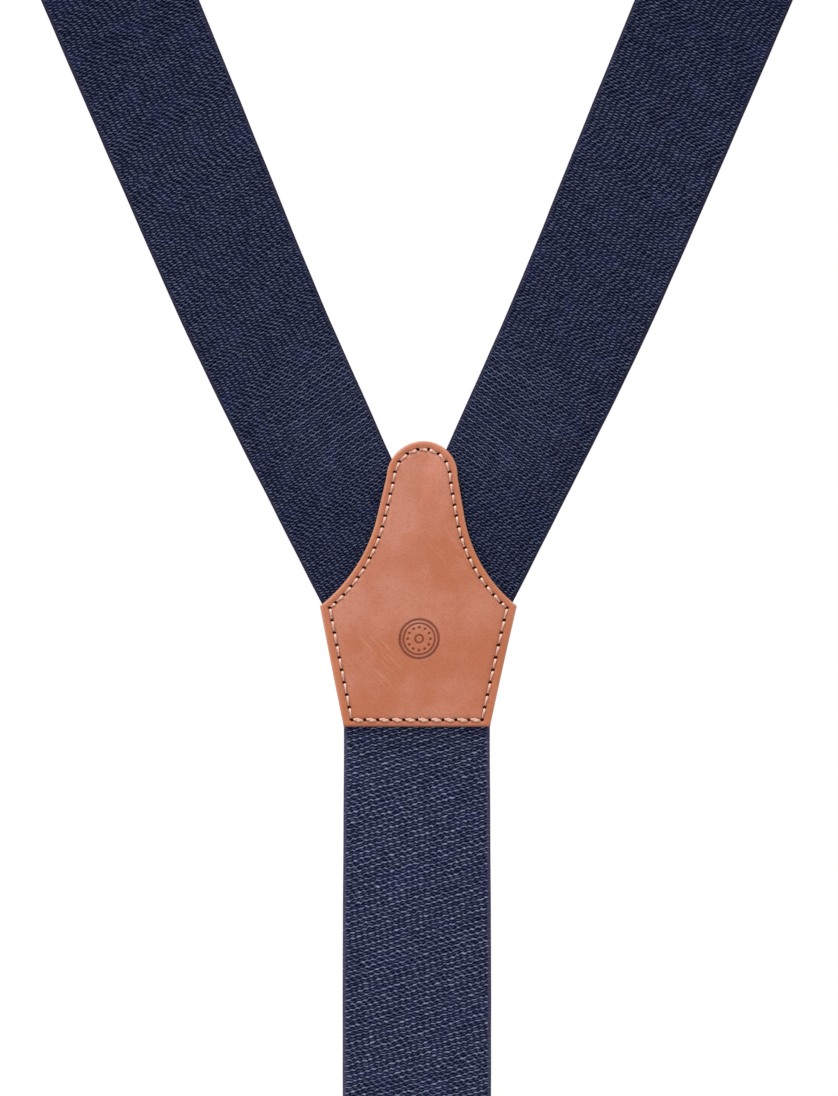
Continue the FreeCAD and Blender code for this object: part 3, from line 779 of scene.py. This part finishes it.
def even_points(line, spacing):
    """Evenly spaced points along an open line, from its first point and stopping short of its last."""
    lengths = [(line[number + 1] - line[number]).length for number in range(len(line) - 1)]
    total = sum(lengths)
    count = max(1, round(total / spacing))
    points = []
    number, passed = 0, 0.0
    for step in range(count):
        target = total * step / count
        while passed + lengths[number] < target:
            passed += lengths[number]
            number += 1
        share = (target - passed) / lengths[number]
        points.append(line[number].lerp(line[number + 1], share))
    return points


def closed_points(loop, spacing):
    """Evenly spaced points round a loop shaped as the patch, with its four corners kept."""
    low_right, right, left, low_left = loop[1], loop[2], loop[-2], loop[-1]
    stretches = ([low_left, low_right], [low_right, right], loop[2:-1], [left, low_left])
    return [point for stretch in stretches for point in even_points(stretch, spacing)]


def stitch_inset(normal):
    """How far the stitching runs inside the edge that faces this way."""
    if normal.y < FOOT_FACING:
        return FOOT_INSET
    return LOW_INSET if normal.y < 0 else HIGH_INSET


def make_stitch_holes():
    """(place, whether the next stitch lies along the foot) of each hole, anticlockwise."""
    line = inset_line(patch_outline(), stitch_inset)
    holes = [(point, True) for point in even_points([line[-1], line[1]], STRAIGHT_PITCH)]
    stretches = (line[1:3], STRAIGHT_PITCH), (line[2:-1], CROWN_PITCH), (line[-2:], STRAIGHT_PITCH)
    for stretch, pitch in stretches:
        holes += [(point, False) for point in even_points(stretch, pitch)]
    return holes


stitch_holes = make_stitch_holes()
stitch_line = [hole for hole, _ in stitch_holes]


def as_array(points):
    return np.array([tuple(point) for point in points])


def distance_to_loop(points, loop):
    """How far each point is from a closed line."""
    points = as_array(points)
    best = np.full(len(points), np.inf)
    for start, end in pairs(list(as_array(loop))):
        span = end - start
        share = np.clip(((points - start) @ span) / (span @ span), 0, 1)
        gap = np.linalg.norm(points - (start + share[:, None] * span), axis=1)
        best = np.minimum(best, gap)
    return best


def past_webbing(x, z):
    """How far a point of the patch lies outside the webbing that the leather covers."""
    half = strap_width(under_patch) / 2
    gaps = []
    for _, sign in SIDES:
        across = x * sign * math.cos(low_angle) - (z + apex_drop) * math.sin(low_angle)
        gaps.append(np.abs(across) - half)
    below_butt = z < butt_height - patch_middle
    gaps.append(np.where(below_butt, np.abs(x) - webbing_width / 2, corner_half))
    return np.maximum(np.min(gaps, axis=0), 0.0)


def pinch(x, z):
    """How far each leather sinks towards the other where there is no webbing between them."""
    return pinch_depth * smooth_step(past_webbing(x, z), 0.0, pinch_reach)


def sewn(x, y, z):
    """Where a point of the patch is: it was sewn on leaning a little."""
    share = max(0.0, (z + half_height) / (2 * half_height))
    return Vector((x + sewn_lean * share ** sewn_lean_curve, y, patch_middle + z))


def roundel_depth(x, z):
    """From 0 to 1: how deep the debossed roundel is pressed, a plain pattern of rings and dots."""
    dx = x - ROUNDEL_MIDDLE.x
    dz = z - ROUNDEL_MIDDLE.y
    radius = np.hypot(dx, dz)
    depth = np.zeros_like(radius)
    for ring, half in RINGS:
        depth = np.maximum(depth, near(np.abs(radius - ring), half, half + PRESS_EDGE))
    for number in range(DOT_COUNT):
        angle = math.tau * number / DOT_COUNT
        gap = np.hypot(dx - DOT_RING * math.cos(angle), dz - DOT_RING * math.sin(angle))
        depth = np.maximum(depth, near(gap, DOT_RADIUS, DOT_RADIUS + PRESS_EDGE))
    return depth


def triangular_grid(low, high, spacing):
    """Points of a triangular grid between two corners."""
    row_height = spacing * math.sqrt(0.75)
    return [Vector((low.x + (column + row % 2 / 2) * spacing, low.y + row * row_height))
            for row in range(int((high.y - low.y) / row_height) + 1)
            for column in range(int((high.x - low.x) / spacing) + 1)]


def inside_loop(points, loop):
    inside = np.zeros(len(points), bool)
    for start, end in pairs(loop):
        if start.y == end.y:
            continue
        crosses = (start.y > points[:, 1]) != (end.y > points[:, 1])
        where = start.x + (points[:, 1] - start.y) / (end.y - start.y) * (end.x - start.x)
        inside ^= crosses & (points[:, 0] < where)
    return inside


def hole_axes(hole):
    """The long and the short direction of an awl hole, which slants towards the patch's foot."""
    slant = -HOLE_SLANT if hole.x < 0 else HOLE_SLANT
    long = direction(slant)
    return long, Vector((-long.y, long.x))


def hole_rings():
    """Points round each hole, so that its shape can be pressed into the leather."""
    points = []
    for hole in stitch_line:
        long, short = hole_axes(hole)
        points.append(hole)
        for size, corners in HOLE_RINGS:
            for corner in range(corners):
                angle = math.tau * corner / corners
                points.append(hole + long * size * HOLE_HALF_LENGTH * math.cos(angle)
                              + short * size * HOLE_HALF_HEIGHT * math.sin(angle))
    return points


def hole_depth(spots):
    """From 0 to 1: how far each point lies in a stitch hole."""
    depth = np.zeros(len(spots))
    for hole in stitch_line:
        long, short = hole_axes(hole)
        away = spots - np.array(hole)
        size = np.hypot(away @ np.array(long) / HOLE_HALF_LENGTH, away @ np.array(short) / HOLE_HALF_HEIGHT)
        depth = np.maximum(depth, near(size, *HOLE_EDGE))
    return depth


def leather_points(loop, with_roundel):
    """The points that a leather's face is made from: closer together where it has fine shapes."""
    points = [point for inset in EDGE_RINGS for point in inset_line(loop, lambda _: inset)]
    points += hole_rings()
    corner = Vector((corner_half, half_height))
    grid = triangular_grid(-corner, corner, COARSE_STEP)
    if with_roundel:
        corner = Vector((ROUNDEL_REACH, ROUNDEL_REACH))
        fine = triangular_grid(ROUNDEL_MIDDLE - corner, ROUNDEL_MIDDLE + corner, FINE_STEP)
        clear_of_fine = ROUNDEL_REACH + 0.2 * MM
        grid = [point for point in grid if (point - ROUNDEL_MIDDLE).length > clear_of_fine]
        grid += [point for point in fine if (point - ROUNDEL_MIDDLE).length < ROUNDEL_REACH]
    spots = as_array(grid)
    clear = inside_loop(spots, loop) & (distance_to_loop(grid, loop) > CLEAR_OF_EDGE)
    for hole in stitch_line:
        clear &= np.linalg.norm(spots - np.array(hole), axis=1) > CLEAR_OF_HOLE
    return points + [grid[number] for number in np.nonzero(clear)[0]]


def leather_shades(x, z, edge_gap, stitch_gap, holes, press):
    """What the leather's material reads at each point of its seen face, by name."""
    # The foot's lower edge is darker: partly its burnish, partly painted shadow under the edge.
    at_foot = z < 0.8 * MM - half_height
    foot_edge_burnish_and_shadow = 1.45 * near(edge_gap, 0.1 * MM, 0.6 * MM) * at_foot
    wear = np.zeros(len(x))
    for middle, reach, strength in RUBBED:
        wear += strength * np.exp(-((x - middle.x) ** 2 + (z - middle.y) ** 2) / reach ** 2)
    return {
        # Near the cut edge: a painted highlight on the tan leather, a darker burnish on the backing.
        "rim": near(edge_gap, 0.0, 0.45 * MM),
        "margin": near(edge_gap, 1.2 * MM, 2.2 * MM) * smooth_step(edge_gap, 0.3 * MM, 0.8 * MM),
        # Painted sheen: the leather grows lighter towards the upper left, a painted highlight where the light
        # falls.
        "painted_sheen": 0.62 * smooth_step(z - 1.1 * x, -2 * MM, 26 * MM),
        "wear": np.clip(wear, 0, 1),
        # Along the stitching: its pressed groove and painted shadow beside the thread.
        "seam": np.maximum(near(stitch_gap, 0.22 * MM, 0.5 * MM), foot_edge_burnish_and_shadow),
        "hole": holes,
        "press": press * 0.85,
    }


def make_leather(name, node, material, out_face, in_face, facing, with_roundel):
    """A cut leather with rounded edges, a sunk line of stitch holes and relief on its seen face.

    facing is -1 where the seen face looks towards -Y, and 1 where it looks towards +Y."""
    loop = closed_points(patch_outline(), OUTLINE_STEP)
    points = loop + leather_points(loop, with_roundel)
    edges = pairs(list(range(len(loop))))
    flat, _, triangles, *_ = geometry.delaunay_2d_cdt(points, edges, [], 1, 1e-7)
    spots = as_array(flat)
    x, z = spots[:, 0], spots[:, 1]
    edge_gap = distance_to_loop(spots, loop)
    stitch_gap = distance_to_loop(spots, stitch_line)
    holes = hole_depth(spots)
    press = roundel_depth(x, z) if with_roundel else np.zeros(len(spots))

    to_edge = 1 - np.clip(edge_gap / edge_radius, 0, 1)
    rounding = edge_radius * (1 - np.sqrt(np.clip(1 - to_edge ** 2, 0, 1)))
    channel = channel_depth * near(stitch_gap, 0.2 * MM, 1.0 * MM)
    swell = [noise.noise(Vector((px * swell_rate, pz * swell_rate, 5.0 * facing))) for px, pz in spots]
    swell = swell_depth * np.array(swell) * smooth_step(edge_gap, 0, 3 * MM)
    sunk = rounding + channel + hole_sink * holes + press_sink * press + swell
    dip = pinch(x, z)
    seen = out_face - facing * (sunk + dip)
    hidden = in_face - facing * dip * 0.8
    vertices = [sewn(*spot) for face in (seen, hidden) for spot in zip(x, face, z)]

    count = len(spots)
    faces = [tuple(triangle) for triangle in triangles]
    faces += [tuple(count + corner for corner in reversed(triangle)) for triangle in triangles]
    faces += [(end, start, start + count, end + count) for start, end in boundary_edges(triangles)]
    piece = new_piece(name, vertices, faces, material)
    orient(piece)
    for shade, values in leather_shades(x, z, edge_gap, stitch_gap, holes, press).items():
        on_hidden_face = 1.0 if shade == "rim" else 0.0
        point_attribute(piece, shade, np.concatenate((values, np.full(count, on_hidden_face))))
    attach(piece, node, "harness")


def boundary_edges(triangles):
    """The directed edges that only one triangle has."""
    directed = {edge for triangle in triangles for edge in pairs(triangle)}
    return [edge for edge in directed if (edge[1], edge[0]) not in directed]


# Thread

STITCH_STEPS = 16
STITCH_BED = 0.18 * MM
STITCH_SINK = 0.6 * MM
THINNED_SINK = 0.12 * MM
PLY_TURNS = 1.1
PLY_RADIUS = 0.46
SUNK_END_SHADE_RATE = 1.6
NOT_ALONG_THREAD = Vector((0, 1, 0.013))
FOOT_STITCH = {"radius": 0.38 * MM, "slant": 0.42 * MM, "lens": 0.62, "darkened": 0.42}
EDGE_STITCH = {"radius": 0.31 * MM, "slant": 0.18 * MM, "taper": 0.42}
HEM_STITCH = {"radius": 0.30 * MM, "slant": 0.25 * MM}
HEM_STITCHES = 11
HEM_STITCH_GAP = 0.12 * MM
HEM_ROW_INSET = 0.35 * MM


class Thread:
    """The stitches of one seam, gathered into one mesh."""

    def __init__(self):
        self.vertices, self.faces, self.tint_and_shade = [], [], []

    def add_stitch(self, start, end, out, radius, slant, lens=0.0, taper=0.0, darkened=0.0):
        """A two-ply stitch that comes up at start and goes down at end, out from what it is sewn to.

        lens is how far it swells in its middle, taper how far it thins and sinks towards its end and how much
        painted shade it takes there, and stained how much darker it is all along."""
        way = end - start
        beside = way.cross(out).normalized()
        for ply in (0, 1):
            path, radii, tint_and_shade = [], [], []
            for number in range(STITCH_STEPS + 1):
                share = number / STITCH_STEPS
                lift = float(smooth_step(share, 0.0, 0.12) * near(share, 0.82, 1.0))
                thinning = 1 - taper * float(smooth_step(share, 0.15, 0.7))
                size = radius * (1 - lens + lens * math.sin(math.pi * share)) * thinning
                sunk = THINNED_SINK * (1 - thinning) + STITCH_SINK * (1 - lift)
                angle = math.tau * (share * PLY_TURNS + ply / 2)
                twist = PLY_RADIUS * size * lift
                above = 0.5 * size * lift - sunk + twist * math.sin(angle)
                aside = slant * (share - 0.5) + twist * math.cos(angle)
                path.append(start + way * share + out * above + beside * aside)
                radii.append(size * (0.55 + 0.23 * lift))
                # Painted shade: a tapering stitch turns towards its darker colour as it sinks towards its
                # end.
                tint_and_shade.append(darkened + SUNK_END_SHADE_RATE * taper * float(smooth_step(share, 0.12, 0.48)))
            self.add_tube(path, radii, tint_and_shade)

    def add_tube(self, path, radii, tint_and_shade, sides=8):
        """A round tube along a path, with closed ends."""
        first = len(self.vertices)
        for number, point in enumerate(path):
            before = path[max(number - 1, 0)]
            after = path[min(number + 1, len(path) - 1)]
            way = (after - before).normalized()
            across = way.cross(NOT_ALONG_THREAD).normalized()
            beside = way.cross(across)
            for corner in range(sides):
                angle = math.tau * corner / sides
                offset = across * math.cos(angle) + beside * math.sin(angle)
                self.vertices.append(point + offset * radii[number])
                self.tint_and_shade.append(min(1.0, tint_and_shade[number]))
        self.faces += tube_faces(first, len(self.vertices), sides)

    def finish(self, name, node, body, material, slot):
        piece = new_piece(name, self.vertices, self.faces, material)
        orient(piece)
        point_attribute(piece, "tint_and_shade", self.tint_and_shade)
        attach(piece, node, body)


def make_crosspatch_stitching():
    """Cream thread from hole to hole on both faces; each stitch leaves part of its holes open."""
    thread = Thread()
    for (hole, along_foot), (following, _) in pairs(stitch_holes):
        ends = sorted((hole, following), key=lambda end: -end.y)
        way = (ends[1] - ends[0]).normalized()
        long, short = hole_axes(hole)
        shape, clear = (FOOT_STITCH, 0.55) if along_foot else (EDGE_STITCH, 0.85)
        clearance = clear * math.hypot(way.dot(long) * HOLE_HALF_LENGTH, way.dot(short) * HOLE_HALF_HEIGHT)
        ends = [ends[0] + way * clearance, ends[1] - way * clearance]
        for facing, face in ((-1, patch_low.y), (1, backing_high.y)):
            start, end = (Vector((x, face - facing * (float(pinch(x, z)) + STITCH_BED), z)) for x, z in ends)
            thread.add_stitch(start, end, Vector((0, facing, 0)), **shape)
    thread.vertices = [sewn(*vertex) for vertex in thread.vertices]
    thread.finish("crosspatch_thread", "crosspatch_stitching", "harness", cream_thread, "thread")


def make_hem_stitching(side, body, facing):
    """Two rows of stitches across a hem, where the CAD part has them."""
    node = side + "_end_stitching"
    low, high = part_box(node)
    thread = Thread()
    pitch = (high.x - low.x) / HEM_STITCHES
    half = Vector((pitch / 2 - HEM_STITCH_GAP, 0, 0))
    for height in (low.z + HEM_ROW_INSET, high.z - HEM_ROW_INSET):
        for number in range(HEM_STITCHES):
            middle = Vector((low.x + pitch * (number + 0.5), high.y, height))
            thread.add_stitch(middle - half, middle + half, Vector((0, facing, 0)), **HEM_STITCH)
    thread.finish(side + "_end_thread", node, body, navy_thread, "strap_thread")


# Hardware

WELD = 0.004 * MM
FLAT_ENOUGH, SHARP, SHARP_SHADING = (math.radians(angle) for angle in (0.8, 32, 38))
PLATE_BEVEL = 0.3 * MM
GRIP_BEVEL = 0.2 * MM
PIN_BEVEL = 0.15 * MM


def refined(node, body, material, bevel):
    """A copy of a CAD node with its edges rounded over, which stands for it."""
    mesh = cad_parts[node].data.copy()
    work = bmesh.new()
    work.from_mesh(mesh)
    bmesh.ops.remove_doubles(work, verts=work.verts, dist=WELD)
    bmesh.ops.dissolve_limit(work, angle_limit=FLAT_ENOUGH, verts=work.verts, edges=work.edges)
    sharp = [edge for edge in work.edges if len(edge.link_faces) == 2 and edge.calc_face_angle() > SHARP]
    bmesh.ops.bevel(work, geom=sharp, offset=bevel, segments=3, profile=0.5, affect="EDGES",
                    clamp_overlap=True)
    bmesh.ops.triangulate(work, faces=[face for face in work.faces if len(face.verts) > 4])
    work.to_mesh(mesh)
    work.free()
    mesh.materials.clear()
    mesh.materials.append(material)
    mesh.shade_smooth()
    mesh.set_sharp_from_angle(angle=SHARP_SHADING)
    attach(add_object(node + "_shape", mesh), node, body)


def make_hinged(body, plate):
    """The plate, the lever and the pin of a clip or an adjuster."""
    refined(body + plate, body, nickel, PLATE_BEVEL)
    refined(body + "_lever", body + "_lever", nickel, PLATE_BEVEL)
    refined(body + "_pin", body, steel, PIN_BEVEL)


# Stage, light and camera

FLOOR_RADIUS = 2.6
FLOOR_FADE_START = 0.9
FLOOR_CORNERS = 96
FLOOR_DROP = 0.09
LAMPS = (
    ("key", (-0.55, -1.15, 0.95), 0.5),
    ("top", (-0.45, -0.42, 1.15), 0.35),
    ("front_key", (0.9, 1.6, 0.6), 0.7),
)
LAMP_POWER = 12
VIEW_TALL = 259.2 * MM
VIEW_DISTANCE = 2.5
VIEW_ACROSS = 0.5 * MM
VIEW_ABOVE = 8.5 * MM


def make_floor():
    """A pale round floor below the clips, fading out at its rim."""
    shader = Shader("pale_floor")
    place = shader.node("ShaderNodeTexCoord", {}).outputs["Object"]
    distance = shader.node("ShaderNodeVectorMath", {0: place}, operation="LENGTH").outputs["Value"]
    fade = shader.step(distance, FLOOR_FADE_START, FLOOR_RADIUS)
    clear = shader.node("ShaderNodeBsdfTransparent", {}).outputs[0]
    blend = shader.node("ShaderNodeMixShader", {0: fade, 1: shader.surface.outputs[0], 2: clear})
    shader.put(shader.tree.nodes["Material Output"].inputs["Surface"], blend.outputs[0])
    material = shader.finish(Base_Color=(0.86, 0.86, 0.85), Roughness=0.9, Specular_IOR_Level=0.1)
    angles = [math.tau * number / FLOOR_CORNERS for number in range(FLOOR_CORNERS)]
    rim = [(direction(angle) * FLOOR_RADIUS).to_3d() for angle in angles]
    floor = new_piece("floor", rim, [tuple(range(FLOOR_CORNERS))], material)
    floor.location.z = cad_box[0][2] - FLOOR_DROP


def add_lamp(name, place, size):
    """A round lamp that shines on the crosspatch."""
    data = bpy.data.lights.new(name, "AREA")
    data.shape = "DISK"
    data.size = size
    data.energy = LAMP_POWER
    lamp = add_object(name, data)
    lamp.location = place
    towards = Vector((0, 0, patch_middle)) - Vector(place)
    lamp.rotation_euler = towards.to_track_quat("-Z", "Y").to_euler()
    lamp.visible_camera = False


def make_light():
    world = bpy.data.worlds.new("studio")
    bpy.context.scene.world = world
    world.use_nodes = True
    background = world.node_tree.nodes["Background"]
    background.inputs["Color"].default_value = (1.0, 1.0, 1.0, 1.0)
    background.inputs["Strength"].default_value = 1.0
    for name, place, size in LAMPS:
        add_lamp(name, place, size)
    bpy.context.scene.view_settings.view_transform = "Standard"


def make_camera():
    """A long lens square to the wearer's back."""
    data = bpy.data.cameras.new("camera")
    data.sensor_fit = "VERTICAL"
    data.sensor_height = 36
    data.lens = data.sensor_height * VIEW_DISTANCE / VIEW_TALL
    data.clip_end = 50
    camera = add_object("camera", data)
    camera.location = (VIEW_ACROSS, patch_low.y - VIEW_DISTANCE, patch_middle + VIEW_ABOVE)
    camera.rotation_euler = (math.pi / 2, 0, 0)
    bpy.context.scene.camera = camera


make_camera()
make_light()
make_floor()
for side, sign in SIDES:
    make_front_strap(side, sign)
make_rear_strap()
make_leather("crosspatch_front", "crosspatch_front_leather", tan_leather, patch_low.y, patch_high.y, -1, True)
make_leather("crosspatch_backing", "crosspatch_backing_leather", backing_leather,
             backing_high.y, backing_low.y, 1, False)
make_crosspatch_stitching()
for side, body in (("left", "left_adjuster"), ("right", "right_adjuster"), ("rear", "harness")):
    make_hem_stitching(side, body, -1)
for side, _ in SIDES:
    make_hinged(side + "_adjuster", "_frame")
for side in CLIPS:
    make_hinged(side + "_clip", "_back_plate")
    refined(side + "_clip_grip", side + "_clip", black_grip, GRIP_BEVEL)
